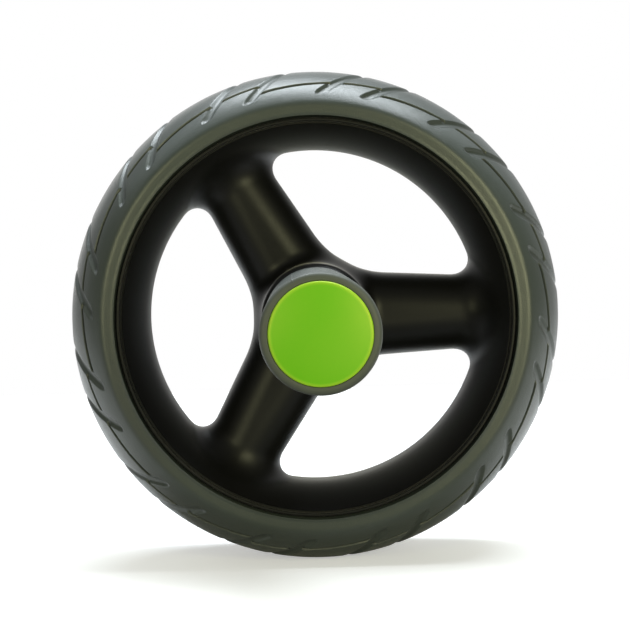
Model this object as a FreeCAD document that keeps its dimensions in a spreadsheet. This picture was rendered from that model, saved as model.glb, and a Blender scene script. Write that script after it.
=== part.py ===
import FreeCAD
import Part
import Sketcher
import math
import os

# Ab wheel roller. Millimetres and degrees. The axle lies along Y with the wheel's
# middle plane at Y = 0; Z is up. The right-hand side is -Y, the left-hand side +Y.
# Stations are distances from the middle plane, so right-hand outlines use -station.

doc = FreeCAD.newDocument("ab_wheel_roller")
sheet = doc.addObject("Spreadsheet::Sheet", "dims")

sizes = {
    "tyre_diameter": 200,
    "tyre_width": 66,
    "crown_flat": 12,
    "crown_rise": 14.6,
    "sidewall_height": 5.4,
    "rib_height": 2.5,
    "rib_width": 10,
    "tread_depth": 1.6,
    "tread_groove": 2.6,
    "tread_line": 1.3,
    "tread_line_depth": 1,
    "tread_phase": -1.2,
    "tread_pitches": 12,
    "tread_margin": 3,
    "bead_round": 0.6,
    "rim_inset": 1.5,
    "rim_wall": 3.2,
    "rim_depth": 12.5,
    "lip_width": 2.4,
    "lip_groove": 0.8,
    "lip_chamfer": 0.6,
    "cavity_tip": 0.8,
    "spoke_inset": 4,
    "spoke_taper": 3.2,
    "spoke_thickness": 30,
    "spoke_round": 13,
    "spoke_side_wall": 5.5,
    "spoke_front_wall": 4,
    "web_fillet": 38,
    "spoke_root_fillet": 5.5,
    "hub_root_fillet": 4,
    "hub_wall": 8,
    "hub_mouth": 4.5,
    "hub_round": 1.5,
    "screw_offset": 0.85,
    "screw_diameter": 3.5,
    "screw_head": 7.2,
    "screw_head_height": 2.4,
    "screw_boss_wall": 3.2,
    "screw_floor": 5,
    "screw_bite": 9,
    "screw_slot": 0.9,
    "screw_well_clearance": 0.3,
    "axle_diameter": 12,
    "axle_chamfer": 1.2,
    "bearing_outside": 28,
    "bearing_width": 8,
    "bearing_span": 48,
    "bearing_shoulder": 2,
    "ball_width_share": 0.595,
    "ball_section_share": 0.3,
    "ball_count": 8,
    "race_clearance": 0.07,
    "pocket_clearance": 0.12,
    "cage_thickness": 1.7,
    "seal_thickness": 0.5,
    "seal_recess": 0.15,
    "seal_bite": 0.4,
    "seal_clearance": 0.15,
    "cover_step": 1,
    "cover_recess": 0.6,
    "cover_clearance": 0.5,
    "spacer_wall": 2.5,
    "boss_wall": 3.2,
    "running_gap": 2,
    "grip_length": 112,
    "sleeve_thickness": 3.35,
    "grip_end_round": 2.7,
    "grip_inner_round": 1.2,
    "grip_groove_width": 1.4,
    "grip_groove_depth": 0.7,
    "grip_groove_pitch": 4.2,
    "grip_groove_count": 22,
    "grip_groove_start": 10,
    "core_wall": 2.8,
    "core_web": 4,
    "core_rib": 2,
    "core_rib_count": 6,
    "nut_flats": 19,
    "nut_height": 10,
    "nut_collar": 2.5,
    "washer_thickness": 2.5,
    "washer_overhang": 1,
    "socket_clearance": 2.3,
    "thread_end": 1,
    "cap_seat": 1.7,
    "cap_overlap": 0.2,
    "cap_gap": 0.25,
    "cap_edge": 1.6,
    "cap_dome": 1.2,
    "cap_edge_round": 0.5,
    "cap_skirt": 6,
    "cap_skirt_wall": 1.4,
    "cap_bead": 0.35,
    "cap_end_gap": 0.6,
    "fit_clearance": 0.02,
}

for row, (name, size) in enumerate(sizes.items(), 1):
    sheet.set(f"A{row}", name)
    sheet.set(f"B{row}", str(size))
    sheet.setAlias(f"B{row}", name)
doc.recompute()


def number(expression):
    """Value of an expression over the sheet's named sizes."""
    result = sheet.evalExpression(expression)
    return float(getattr(result, "Value", result))


# Shared radii and stations, as expressions over the sheet.
fit = "dims.fit_clearance"
axle_radius = "dims.axle_diameter / 2"
tyre_radius = "dims.tyre_diameter / 2"
shoulder_radius = f"({tyre_radius} - dims.crown_rise)"
seat_radius = f"({shoulder_radius} - dims.sidewall_height)"
aperture = f"({seat_radius} - dims.rim_depth)"
tyre_side = "dims.tyre_width / 2"
rim_face = f"({tyre_side} - dims.rim_inset)"
bearing_radius = "dims.bearing_outside / 2"
pitch_radius = "(dims.axle_diameter + dims.bearing_outside) / 4"
ball_diameter = (
    "min(dims.ball_width_share * dims.bearing_width;"
    " dims.ball_section_share * (dims.bearing_outside - dims.axle_diameter))"
)
bearing_inner = "dims.bearing_span / 2"
bearing_middle = "(dims.bearing_span + dims.bearing_width) / 2"
bearing_outer = "(dims.bearing_span / 2 + dims.bearing_width)"
hub_radius = f"({bearing_radius} + dims.hub_wall)"
hub_face = f"({bearing_outer} + dims.hub_mouth)"
spoke_half_width = f"({hub_radius} - dims.spoke_inset)"
hollow_start = f"({hub_radius} + dims.spoke_front_wall)"
hollow_end = f"({aperture} - dims.rim_wall)"
screw_axis = f"(({hollow_start} + {hollow_end}) / 2 + dims.screw_offset)"
mouth_radius = f"({bearing_radius} + dims.cover_step)"
collar_radius = f"({axle_radius} + dims.boss_wall)"
handle_start = f"({hub_face} + dims.running_gap)"
grip_end = f"({handle_start} + dims.grip_length)"
core_end = f"({grip_end} - dims.cap_seat)"
nut_corner = "dims.nut_flats / sqrt(3)"
washer_radius = f"({nut_corner} + dims.washer_overhang)"
core_inside = f"({washer_radius} + dims.socket_clearance)"
core_radius = f"({core_inside} + dims.core_wall)"
grip_radius = f"({core_radius} + dims.sleeve_thickness)"
cap_radius = f"({core_radius} + dims.cap_overlap)"
axle_end = f"({core_end} - dims.cap_skirt - dims.cap_end_gap)"
nut_end = f"({axle_end} - dims.thread_end)"
nut_start = f"({nut_end} - dims.nut_height)"
washer_start = f"({nut_start} - dims.washer_thickness)"
spoke_half_depth = "dims.spoke_thickness / 2"
screw_radius = "dims.screw_diameter / 2"
spoke_count = 3
overshoot = 1


def plane_of(body, role):
    """One of a body's own origin planes or axes."""
    return next(item for item in body.Origin.OriginFeatures if item.Role == role)


def new_body(name):
    return doc.addObject("PartDesign::Body", name)


def new_sketch(body, name, role):
    sketch = body.newObject("Sketcher::SketchObject", name)
    sketch.AttachmentSupport = [(plane_of(body, role), "")]
    sketch.MapMode = "FlatFace"
    return sketch


def bind(sketch, kind, where, expression):
    """A dimension on a point or curve that follows the sheet."""
    index = sketch.addConstraint(Sketcher.Constraint(kind, *where, number(expression)))
    sketch.setExpression(f"Constraints[{index}]", expression)


def add_outline(sketch, corners):
    """Closed outline through corners (across, along, curve); curve is None for a straight
    edge to the next corner, or (radius, "left" or "right") for an arc with its centre there."""
    first = sketch.GeometryCount
    places = [FreeCAD.Vector(number(across), number(along), 0) for across, along, _ in corners]
    ends = []
    for index, (_, _, curve) in enumerate(corners):
        start = places[index]
        finish = places[(index + 1) % len(places)]
        if curve is None:
            sketch.addGeometry(Part.LineSegment(start, finish), False)
            ends.append((1, 2))
            continue
        radius = number(curve[0])
        chord = finish - start
        rise = math.sqrt(max(radius**2 - (chord.Length / 2) ** 2, 0))
        side = 1 if curve[1] == "left" else -1
        offset = FreeCAD.Vector(-chord.y, chord.x, 0).normalize() * (side * rise)
        centre = (start + finish) * 0.5 + offset
        from_angle = math.atan2(start.y - centre.y, start.x - centre.x)
        to_angle = math.atan2(finish.y - centre.y, finish.x - centre.x)
        circle = Part.Circle(centre, FreeCAD.Vector(0, 0, 1), radius)
        if side > 0:
            sketch.addGeometry(Part.ArcOfCircle(circle, from_angle, to_angle), False)
            ends.append((1, 2))
        else:
            sketch.addGeometry(Part.ArcOfCircle(circle, to_angle, from_angle), False)
            ends.append((2, 1))
    count = len(corners)
    for index, (across, along, curve) in enumerate(corners):
        after = (index + 1) % count
        sketch.addConstraint(
            Sketcher.Constraint("Coincident", first + index, ends[index][1], first + after, ends[after][0])
        )
        point = (first + index, ends[index][0])
        if across == "0":
            sketch.addConstraint(Sketcher.Constraint("PointOnObject", *point, -2))
        else:
            bind(sketch, "DistanceX", (-1, 1, *point), across)
        if along == "0":
            sketch.addConstraint(Sketcher.Constraint("PointOnObject", *point, -1))
        else:
            bind(sketch, "DistanceY", (-1, 1, *point), along)
        if curve is not None:
            bind(sketch, "Radius", (first + index,), curve[0])


def add_circle(sketch, across, along, radius):
    """Circle whose centre and radius follow the sheet."""
    centre = FreeCAD.Vector(number(across), number(along), 0)
    index = sketch.addGeometry(Part.Circle(centre, FreeCAD.Vector(0, 0, 1), number(radius)), False)
    if across == "0":
        sketch.addConstraint(Sketcher.Constraint("PointOnObject", index, 3, -2))
    else:
        bind(sketch, "DistanceX", (-1, 1, index, 3), across)
    if along == "0":
        sketch.addConstraint(Sketcher.Constraint("PointOnObject", index, 3, -1))
    else:
        bind(sketch, "DistanceY", (-1, 1, index, 3), along)
    bind(sketch, "Radius", (index,), radius)


def turn(body, name, corners, kind="Revolution"):
    """Outline of (radius, position along Y) turned a full circle about the axle."""
    sketch = new_sketch(body, name + "_outline", "XY_Plane")
    add_outline(sketch, corners)
    feature = body.newObject("PartDesign::" + kind, name)
    feature.Profile = sketch
    feature.ReferenceAxis = (sketch, ["V_Axis"])
    feature.Angle = 360
    sketch.Visibility = False
    body.Tip = feature
    doc.recompute()
    return feature


def around_axle(body, name, originals, count):
    """Copies of features evenly round the axle."""
    pattern = body.newObject("PartDesign::PolarPattern", name)
    pattern.Originals = originals
    pattern.Axis = (plane_of(body, "Y_Axis"), [""])
    pattern.Angle = 360
    pattern.setExpression("Occurrences", count)
    body.Tip = pattern
    doc.recompute()
    return pattern


def round_edges(body, name, base, chosen, radius):
    """Fillet of the named feature's edges that a test picks out."""
    names = [f"Edge{n}" for n, edge in enumerate(base.Shape.Edges, 1) if chosen(edge)]
    fillet = body.newObject("PartDesign::Fillet", name)
    fillet.Base = (base, names)
    fillet.setExpression("Radius", radius)
    body.Tip = fillet
    doc.recompute()
    return fillet


def circle_at(radius, along):
    """Test for a full circle about the axle at a radius and a position along Y."""
    wanted = number(radius)
    station = number(along)

    def test(edge):
        if edge.Degenerated or not isinstance(edge.Curve, Part.Circle):
            return False
        curve = edge.Curve
        return abs(curve.Radius - wanted) < 1e-4 and abs(curve.Center.y - station) < 1e-4

    return test


def ring(name, inside, outside, start, finish):
    """Plain turned ring between two radii and two stations on the right-hand side."""
    body = new_body(name)
    turn(
        body,
        name + "_turned",
        [
            (inside, f"-{start}", None),
            (outside, f"-{start}", None),
            (outside, f"-{finish}", None),
            (inside, f"-{finish}", None),
        ],
    )
    return body


def left_of(source, name):
    """Left-hand twin of a right-hand piece."""
    twin = doc.addObject("Part::Mirroring", name)
    twin.Source = source
    twin.Normal = (0, 1, 0)
    twin.Base = (0, 0, 0)
    twin.Label = name
    doc.recompute()
    return twin


def group(name, members):
    """Separate like solids handed over as one piece."""
    compound = doc.addObject("Part::Compound", name)
    compound.Links = members
    compound.Label = name
    doc.recompute()
    return compound


handed = []


# Tyre: moulded rubber ring with a locating groove inside and a slanted tread.
crown_run = "((dims.tyre_width - dims.crown_flat) / 2)"
crown_radius = f"(dims.crown_rise ^ 2 + ({crown_run}) ^ 2) / (2 * dims.crown_rise)"
groove_side = f"(dims.rib_width / 2 + {fit})"
tyre_bore = f"({seat_radius} + {fit})"
groove_radius = f"({seat_radius} + dims.rib_height + {fit})"

tyre_blank = new_body("tyre_blank")
tyre_turned = turn(
    tyre_blank,
    "tyre_turned",
    [
        (tyre_bore, f"-{tyre_side}", None),
        (shoulder_radius, f"-{tyre_side}", (crown_radius, "left")),
        (tyre_radius, "-dims.crown_flat / 2", None),
        (tyre_radius, "dims.crown_flat / 2", (crown_radius, "left")),
        (shoulder_radius, tyre_side, None),
        (tyre_bore, tyre_side, None),
        (tyre_bore, groove_side, None),
        (groove_radius, groove_side, None),
        (groove_radius, f"-{groove_side}", None),
        (tyre_bore, f"-{groove_side}", None),
    ],
)
near_bead = circle_at(tyre_bore, f"-{tyre_side}")
far_bead = circle_at(tyre_bore, tyre_side)
round_edges(tyre_blank, "tyre_bead", tyre_turned, lambda e: near_bead(e) or far_bead(e), "dims.bead_round")


def slot_block(path, width, angle, reach):
    """Radial block whose plan is a round-ended slot along a path of (tangent, Y) points."""
    points = [FreeCAD.Vector(0, y, tangent) for tangent, y in path]
    if len(points) == 3:
        outline = Part.Wire(Part.Arc(*points).toShape()).makeOffset2D(width / 2)
    else:
        start, finish = points
        along = (finish - start).normalize() * (width / 2)
        aside = FreeCAD.Vector(0, -along.z, along.y)
        outline = Part.Wire(
            [
                Part.LineSegment(start + aside, finish + aside).toShape(),
                Part.Arc(finish + aside, finish + along, finish - aside).toShape(),
                Part.LineSegment(finish - aside, start - aside).toShape(),
                Part.Arc(start - aside, start - along, start + aside).toShape(),
            ]
        )
    plan = Part.Face(outline)
    plan.translate(FreeCAD.Vector(reach[0], 0, 0))
    block = plan.extrude(FreeCAD.Vector(reach[1] - reach[0], 0, 0))
    block.rotate(FreeCAD.Vector(0, 0, 0), FreeCAD.Vector(0, 1, 0), -angle)
    return block


def under_tread(depth):
    """Solid of revolution whose outside lies a depth below the plain tread."""
    radius = number(tyre_radius)
    flat = number("dims.crown_flat / 2")
    bend = number(crown_radius)
    low = number(seat_radius) - 5 * depth
    lean = math.asin(min((number(tyre_side) - flat) / (bend - depth), 0.999))

    def place(angle, side):
        reach = radius - bend + (bend - depth) * math.cos(angle)
        return FreeCAD.Vector(reach, side * (flat + (bend - depth) * math.sin(angle)), 0)

    near_foot = FreeCAD.Vector(low, place(lean, -1).y, 0)
    far_foot = FreeCAD.Vector(low, place(lean, 1).y, 0)
    outline = Part.Wire(
        [
            Part.LineSegment(near_foot, place(lean, -1)).toShape(),
            Part.Arc(place(lean, -1), place(lean / 2, -1), place(0, -1)).toShape(),
            Part.LineSegment(place(0, -1), place(0, 1)).toShape(),
            Part.Arc(place(0, 1), place(lean / 2, 1), place(lean, 1)).toShape(),
            Part.LineSegment(place(lean, 1), far_foot).toShape(),
            Part.LineSegment(far_foot, near_foot).toShape(),
        ]
    )
    return Part.Face(outline).revolve(FreeCAD.Vector(0, 0, 0), FreeCAD.Vector(0, 1, 0), 360)


def tread_shape():
    """Slanted grooves in pairs and a shallower stepped line across them. Tangent values are
    shares of one pitch, depths along Y shares of the grooves' run from the shoulder inward."""
    radius = number(tyre_radius)
    depth = number("dims.tread_depth")
    pitches = int(number("dims.tread_pitches"))
    step = 360 / pitches
    phase = number("dims.tread_phase")
    reach = (number(shoulder_radius) - 5 * depth, radius + 2 * depth)
    shoulder_tangent = 0.19
    bend_tangent = 0.05
    crown_tangent = -0.2
    bend_inward = 0.22
    pair_offset = 0.6
    line_half_length = 0.49
    line_inward = 0.26
    line_outward = 0.1
    line_offset = 0.97
    inner_end = number("dims.tread_margin")
    outer_end = number(tyre_side) - inner_end
    run = outer_end - inner_end
    slope = radius * math.radians(step)
    groove = number("dims.tread_groove")
    line = number("dims.tread_line")
    groove_floor = under_tread(depth)
    line_floor = under_tread(min(number("dims.tread_line_depth"), 0.8 * depth))
    tools = []
    for side, stagger in ((-1, 0), (1, step / 2)):
        slant = [
            (shoulder_tangent * slope, side * outer_end),
            (bend_tangent * slope, side * (outer_end - bend_inward * run)),
            (crown_tangent * slope, side * inner_end),
        ]
        across = [
            (-line_half_length * slope, side * (outer_end - line_inward * run)),
            (line_half_length * slope, side * (outer_end - line_outward * run)),
        ]
        first = -shoulder_tangent * step
        blocks = [
            slot_block(slant, groove, first, reach).cut(groove_floor),
            slot_block(slant, groove, first + pair_offset * step, reach).cut(groove_floor),
            slot_block(across, line, line_offset * step, reach).cut(line_floor),
        ]
        for block in blocks:
            for pitch in range(pitches):
                turned = block.copy()
                angle = pitch * step + stagger + phase
                turned.rotate(FreeCAD.Vector(0, 0, 0), FreeCAD.Vector(0, 1, 0), -angle)
                tools.append(turned)
    return Part.makeCompound(tools)


tread = doc.addObject("Part::Feature", "tread_grooves")
tread.Shape = tread_shape()
tyre = doc.addObject("Part::Cut", "tyre")
tyre.Base = tyre_blank
tyre.Tool = tread
tyre.Label = "tyre"
doc.recompute()
handed.append(tyre)


# Wheel: two hollow mouldings that meet on the middle plane, each with half the rim,
# half of three spokes and half the hub.
arch_end = f"({seat_radius} - dims.lip_width - dims.lip_groove)"
arch_side = f"({rim_face} - dims.lip_width)"
arch_rise = f"({arch_end} - {aperture})"
arch_radius = f"(({arch_rise}) ^ 2 + ({arch_side}) ^ 2) / (2 * {arch_rise})"
edge_angle = f"({180 / spoke_count} + dims.spoke_taper)"
edge_apex = f"({spoke_half_width} * cos(dims.spoke_taper) / sin({edge_angle}))"
edge_touch = f"(dims.web_fillet / tan({edge_angle}))"
star_radius = f"({aperture} + 2 * dims.rim_wall)"

half = new_body("wheel_half")
disc_sketch = new_sketch(half, "spider_disc_outline", "XZ_Plane")
add_circle(disc_sketch, "0", "0", star_radius)
disc = half.newObject("PartDesign::Pad", "spider_disc")
disc.Profile = disc_sketch
disc.setExpression("Length", spoke_half_depth)
doc.recompute()

window_sketch = new_sketch(half, "window_outline", "XZ_Plane")
touch_across = f"-({edge_apex} + {edge_touch} * cos({edge_angle}))"
touch_up = f"{edge_touch} * sin({edge_angle})"
corner_across = f"-({edge_apex} + {tyre_radius} * cos({edge_angle}))"
corner_up = f"{tyre_radius} * sin({edge_angle})"
far_across = f"-1.2 * {tyre_radius}"
add_outline(
    window_sketch,
    [
        (touch_across, touch_up, None),
        (corner_across, corner_up, None),
        (far_across, corner_up, None),
        (far_across, f"-{corner_up}", None),
        (corner_across, f"-{corner_up}", None),
        (touch_across, f"-{touch_up}", ("dims.web_fillet", "left")),
    ],
)
window = half.newObject("PartDesign::Pocket", "window")
window.Profile = window_sketch
window.Type = "ThroughAll"
window.Reversed = True
doc.recompute()
spider = around_axle(half, "windows", [window], str(spoke_count))

front = number(f"-{spoke_half_depth}")
star_reach = number(star_radius)


def spoke_shoulder(edge):
    on_front = all(abs(vertex.Point.y - front) < 1e-5 for vertex in edge.Vertexes)
    middle = edge.valueAt((edge.FirstParameter + edge.LastParameter) / 2)
    return on_front and abs(middle.y - front) < 1e-5 and math.hypot(middle.x, middle.z) < star_reach - 1e-3


spoke_round = f"min(dims.spoke_round; 0.84 * {spoke_half_width}; 0.45 * dims.spoke_thickness)"
round_edges(half, "spoke_rounding", spider, spoke_shoulder, spoke_round)

turn(
    half,
    "rim",
    [
        (aperture, "0", (arch_radius, "left")),
        (arch_end, f"-{arch_side}", None),
        (arch_end, f"-({arch_side} - dims.lip_groove)", None),
        (f"({arch_end} + dims.lip_groove)", f"-({arch_side} - dims.lip_groove)", None),
        (f"({arch_end} + dims.lip_groove)", f"-{rim_face}", None),
        (f"({seat_radius} - dims.lip_chamfer)", f"-{rim_face}", None),
        (seat_radius, f"-({rim_face} - dims.lip_chamfer)", None),
        (seat_radius, "-dims.rib_width / 2", None),
        (f"({seat_radius} + dims.rib_height)", "-dims.rib_width / 2", None),
        (f"({seat_radius} + dims.rib_height)", "0", None),
    ],
)
hub = turn(
    half,
    "hub",
    [
        ("dims.bearing_outside / 4", "0", None),
        (hub_radius, "0", None),
        (hub_radius, f"-({hub_face} - dims.hub_round)", None),
        (f"({hub_radius} - dims.hub_round)", f"-{hub_face}", None),
        ("dims.bearing_outside / 4", f"-{hub_face}", None),
    ],
)
arch_bend = number(arch_radius)
arch_middle = number(aperture) + arch_bend
hub_reach = number(hub_radius)


def along_edge(edge):
    """Points spread along an edge."""
    first = edge.FirstParameter
    span = edge.LastParameter - first
    return [edge.valueAt(first + span * part / 6) for part in range(7)]


def on_spoke(points):
    lowest = min(point.y for point in points)
    return front - 1e-3 < lowest < -1e-3


def spoke_root(edge):
    """Edge where a spoke runs into the rim's inner arch."""
    if edge.Degenerated:
        return False
    points = along_edge(edge)
    misses = [math.hypot(math.hypot(p.x, p.z) - arch_middle, p.y) - arch_bend for p in points]
    return on_spoke(points) and max(abs(miss) for miss in misses) < 1e-3


def hub_root(edge):
    """Edge where a spoke runs into the hub."""
    if edge.Degenerated:
        return False
    points = along_edge(edge)
    return on_spoke(points) and all(abs(math.hypot(p.x, p.z) - hub_reach) < 1e-3 for p in points)


roots = round_edges(half, "spoke_root_rounding", hub, spoke_root, "dims.spoke_root_fillet")
round_edges(half, "hub_root_rounding", roots, hub_root, "dims.hub_root_fillet")
turn(
    half,
    "hub_bore",
    [
        ("0", "0", None),
        (f"({bearing_radius} - dims.bearing_shoulder)", "0", None),
        (f"({bearing_radius} - dims.bearing_shoulder)", f"-{bearing_inner}", None),
        (f"({bearing_radius} + {fit})", f"-{bearing_inner}", None),
        (f"({bearing_radius} + {fit})", f"-{bearing_outer}", None),
        (f"({mouth_radius} + {fit})", f"-{bearing_outer}", None),
        (f"({mouth_radius} + {fit})", f"-({hub_face} + {overshoot})", None),
        ("0", f"-({hub_face} + {overshoot})", None),
    ],
    "Groove",
)
cavity_outside = f"({seat_radius} - dims.rim_wall)"
cavity_end = f"({cavity_outside} - dims.cavity_tip)"
cavity_bend = f"({arch_radius} - dims.rim_wall)"
cavity_side = f"sqrt(({cavity_bend}) ^ 2 - ({aperture} + {arch_radius} - {cavity_end}) ^ 2)"
turn(
    half,
    "rim_cavity",
    [
        (f"({aperture} + dims.rim_wall)", "0", (cavity_bend, "left")),
        (cavity_end, f"-{cavity_side}", None),
        (cavity_outside, f"-{cavity_side}", None),
        (cavity_outside, "0", None),
    ],
    "Groove",
)
hollow_sketch = new_sketch(half, "spoke_hollow_outline", "XZ_Plane")
hollow_near = f"({spoke_half_width} - {hollow_start} * tan(dims.spoke_taper) - dims.spoke_side_wall)"
hollow_far = f"({spoke_half_width} - {hollow_end} * tan(dims.spoke_taper) - dims.spoke_side_wall)"
add_outline(
    hollow_sketch,
    [
        (hollow_start, f"-{hollow_near}", None),
        (hollow_end, f"-{hollow_far}", None),
        (hollow_end, hollow_far, None),
        (hollow_start, hollow_near, None),
    ],
)
add_circle(hollow_sketch, screw_axis, "0", "(dims.screw_head / 2 + dims.screw_boss_wall)")
hollow = half.newObject("PartDesign::Pocket", "spoke_hollow")
hollow.Profile = hollow_sketch
hollow.setExpression("Length", f"{spoke_half_depth} - dims.spoke_front_wall")
hollow.Reversed = True
doc.recompute()
around_axle(half, "spoke_hollows", [hollow], str(spoke_count))
half_turn = FreeCAD.Rotation(FreeCAD.Vector(1, 0, 0), 180)
half_left = group("wheel_half_turned", [half])
half_left.Placement = FreeCAD.Placement(FreeCAD.Vector(0, 0, 0), half_turn)
doc.recompute()


def rod(name, radius, start, finish, angle):
    """Cylinder along Y between two positions, on the screw circle at an angle."""
    cylinder = doc.addObject("Part::Cylinder", name)
    cylinder.setExpression("Radius", radius)
    cylinder.setExpression("Height", f"({finish}) - ({start})")
    cylinder.Placement = FreeCAD.Placement(
        FreeCAD.Vector(0, 0, 0), FreeCAD.Rotation(FreeCAD.Vector(1, 0, 0), -90)
    )
    cylinder.setExpression("Placement.Base.x", f"{screw_axis} * cos({angle})")
    cylinder.setExpression("Placement.Base.y", start)
    cylinder.setExpression("Placement.Base.z", f"{screw_axis} * sin({angle})")
    return cylinder


pilots = []
clearances = []
well_radius = "dims.screw_head / 2 + dims.screw_well_clearance"
for spoke in range(spoke_count):
    at = 360 / spoke_count * spoke
    pilots.append(rod(f"pilot_{spoke}", f"{screw_radius} + {fit}", f"-(dims.screw_bite + {overshoot})", "0", at))
    clearances.append(rod(f"passage_{spoke}", f"{screw_radius} + {fit}", "0", "dims.screw_floor", at))
    clearances.append(rod(f"well_{spoke}", well_radius, "dims.screw_floor", "dims.spoke_thickness", at))
doc.recompute()

wheel_half_right = doc.addObject("Part::Cut", "wheel_half_right")
wheel_half_right.Base = half
wheel_half_right.Tool = group("pilot_holes", pilots)
wheel_half_right.Label = "wheel_half_right"
wheel_half_left = doc.addObject("Part::Cut", "wheel_half_left")
wheel_half_left.Base = half_left
wheel_half_left.Tool = group("screw_passages", clearances)
wheel_half_left.Label = "wheel_half_left"
doc.recompute()
handed += [wheel_half_right, wheel_half_left]


# Screws that hold the two mouldings together, heads sunk in the left-hand spokes.
screws = new_body("shell_screws")
screws.AllowCompound = True
screws.Label = "shell_screws"
screw_sketch = new_sketch(screws, "screw_outline", "XY_Plane")
add_outline(
    screw_sketch,
    [
        (screw_axis, "-dims.screw_bite", None),
        (f"{screw_axis} + {screw_radius} / 3", "-dims.screw_bite", None),
        (f"{screw_axis} + {screw_radius}", f"-dims.screw_bite + {screw_radius}", None),
        (f"{screw_axis} + {screw_radius}", "dims.screw_floor", None),
        (f"{screw_axis} + dims.screw_head / 2", "dims.screw_floor", None),
        (f"{screw_axis} + dims.screw_head / 2", "dims.screw_floor + dims.screw_head_height * 0.6", None),
        (f"{screw_axis} + dims.screw_head / 3", "dims.screw_floor + dims.screw_head_height", None),
        (screw_axis, "dims.screw_floor + dims.screw_head_height", None),
    ],
)
screw = screws.newObject("PartDesign::Revolution", "screw")
screw.Profile = screw_sketch
screw.ReferenceAxis = (screw_sketch, ["Edge8"])
screw.Angle = 360
screws.Tip = screw
doc.recompute()
recess_sketch = new_sketch(screws, "screw_recess_outline", "XZ_Plane")
arm = "dims.screw_head / 4"
slot = "dims.screw_slot / 2"
add_outline(
    recess_sketch,
    [
        (f"{screw_axis} - {arm}", f"-{slot}", None),
        (f"{screw_axis} - {slot}", f"-{slot}", None),
        (f"{screw_axis} - {slot}", f"-{arm}", None),
        (f"{screw_axis} + {slot}", f"-{arm}", None),
        (f"{screw_axis} + {slot}", f"-{slot}", None),
        (f"{screw_axis} + {arm}", f"-{slot}", None),
        (f"{screw_axis} + {arm}", slot, None),
        (f"{screw_axis} + {slot}", slot, None),
        (f"{screw_axis} + {slot}", arm, None),
        (f"{screw_axis} - {slot}", arm, None),
        (f"{screw_axis} - {slot}", slot, None),
        (f"{screw_axis} - {arm}", slot, None),
    ],
)
recess_sketch.setExpression("AttachmentOffset.Base.z", "-(dims.screw_floor + dims.screw_head_height)")
recess = screws.newObject("PartDesign::Pocket", "screw_recess")
recess.Profile = recess_sketch
recess.setExpression("Length", "dims.screw_head_height * 0.6")
recess.Reversed = True
doc.recompute()
around_axle(screws, "screw_set", [screw, recess], str(spoke_count))
handed.append(screws)


# Axle and the sleeve that spaces the two bearings.
axle = new_body("axle")
turn(
    axle,
    "axle_turned",
    [
        ("0", f"-{axle_end}", None),
        (f"({axle_radius} - dims.axle_chamfer)", f"-{axle_end}", None),
        (axle_radius, f"-({axle_end} - dims.axle_chamfer)", None),
        (axle_radius, f"({axle_end} - dims.axle_chamfer)", None),
        (f"({axle_radius} - dims.axle_chamfer)", axle_end, None),
        ("0", axle_end, None),
    ],
)
handed.append(axle)
spacer = new_body("bearing_spacer")
turn(
    spacer,
    "spacer_turned",
    [
        (f"({axle_radius} + {fit})", f"-{bearing_inner}", None),
        (f"({axle_radius} + dims.spacer_wall)", f"-{bearing_inner}", None),
        (f"({axle_radius} + dims.spacer_wall)", bearing_inner, None),
        (f"({axle_radius} + {fit})", bearing_inner, None),
    ],
)
handed.append(spacer)


# Ball bearing on the right-hand side.
shoulder_drop = f"(0.3 * {ball_diameter})"
inner_shoulder = f"({pitch_radius} - {shoulder_drop})"
outer_shoulder = f"({pitch_radius} + {shoulder_drop})"
race_radius = f"({ball_diameter} / 2 + dims.race_clearance)"
race_side = f"sqrt(({race_radius}) ^ 2 - ({shoulder_drop}) ^ 2)"
seal_outer_face = f"({bearing_outer} - dims.seal_recess)"
seal_inner_face = f"({seal_outer_face} - dims.seal_thickness)"
cage_side = "(dims.bearing_width / 2 - dims.seal_recess - dims.seal_thickness - dims.seal_clearance)"
far_seal_outer = f"({bearing_inner} + dims.seal_recess)"
far_seal_inner = f"({far_seal_outer} + dims.seal_thickness)"
seal_seat = f"({outer_shoulder} + dims.seal_bite)"

inner_ring = new_body("bearing_inner_ring_right")
turn(
    inner_ring,
    "inner_ring_turned",
    [
        (f"({axle_radius} + {fit})", f"-{bearing_outer}", None),
        (inner_shoulder, f"-{bearing_outer}", None),
        (inner_shoulder, f"-({bearing_middle} + {race_side})", (race_radius, "right")),
        (inner_shoulder, f"-({bearing_middle} - {race_side})", None),
        (inner_shoulder, f"-{bearing_inner}", None),
        (f"({axle_radius} + {fit})", f"-{bearing_inner}", None),
    ],
)
outer_ring = new_body("bearing_outer_ring_right")
turn(
    outer_ring,
    "outer_ring_turned",
    [
        (bearing_radius, f"-{bearing_outer}", None),
        (bearing_radius, f"-{bearing_inner}", None),
        (seal_seat, f"-{bearing_inner}", None),
        (seal_seat, f"-{far_seal_inner}", None),
        (outer_shoulder, f"-{far_seal_inner}", None),
        (outer_shoulder, f"-({bearing_middle} - {race_side})", (race_radius, "right")),
        (outer_shoulder, f"-({bearing_middle} + {race_side})", None),
        (outer_shoulder, f"-{seal_inner_face}", None),
        (seal_seat, f"-{seal_inner_face}", None),
        (seal_seat, f"-{bearing_outer}", None),
    ],
)
near_seal = ring(
    "seal_near", f"({inner_shoulder} + dims.seal_clearance)", f"({seal_seat} - {fit})", seal_inner_face, seal_outer_face
)
far_seal = ring(
    "seal_far", f"({inner_shoulder} + dims.seal_clearance)", f"({seal_seat} - {fit})", far_seal_outer, far_seal_inner
)
seals = group("bearing_seals_right", [near_seal, far_seal])

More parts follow.
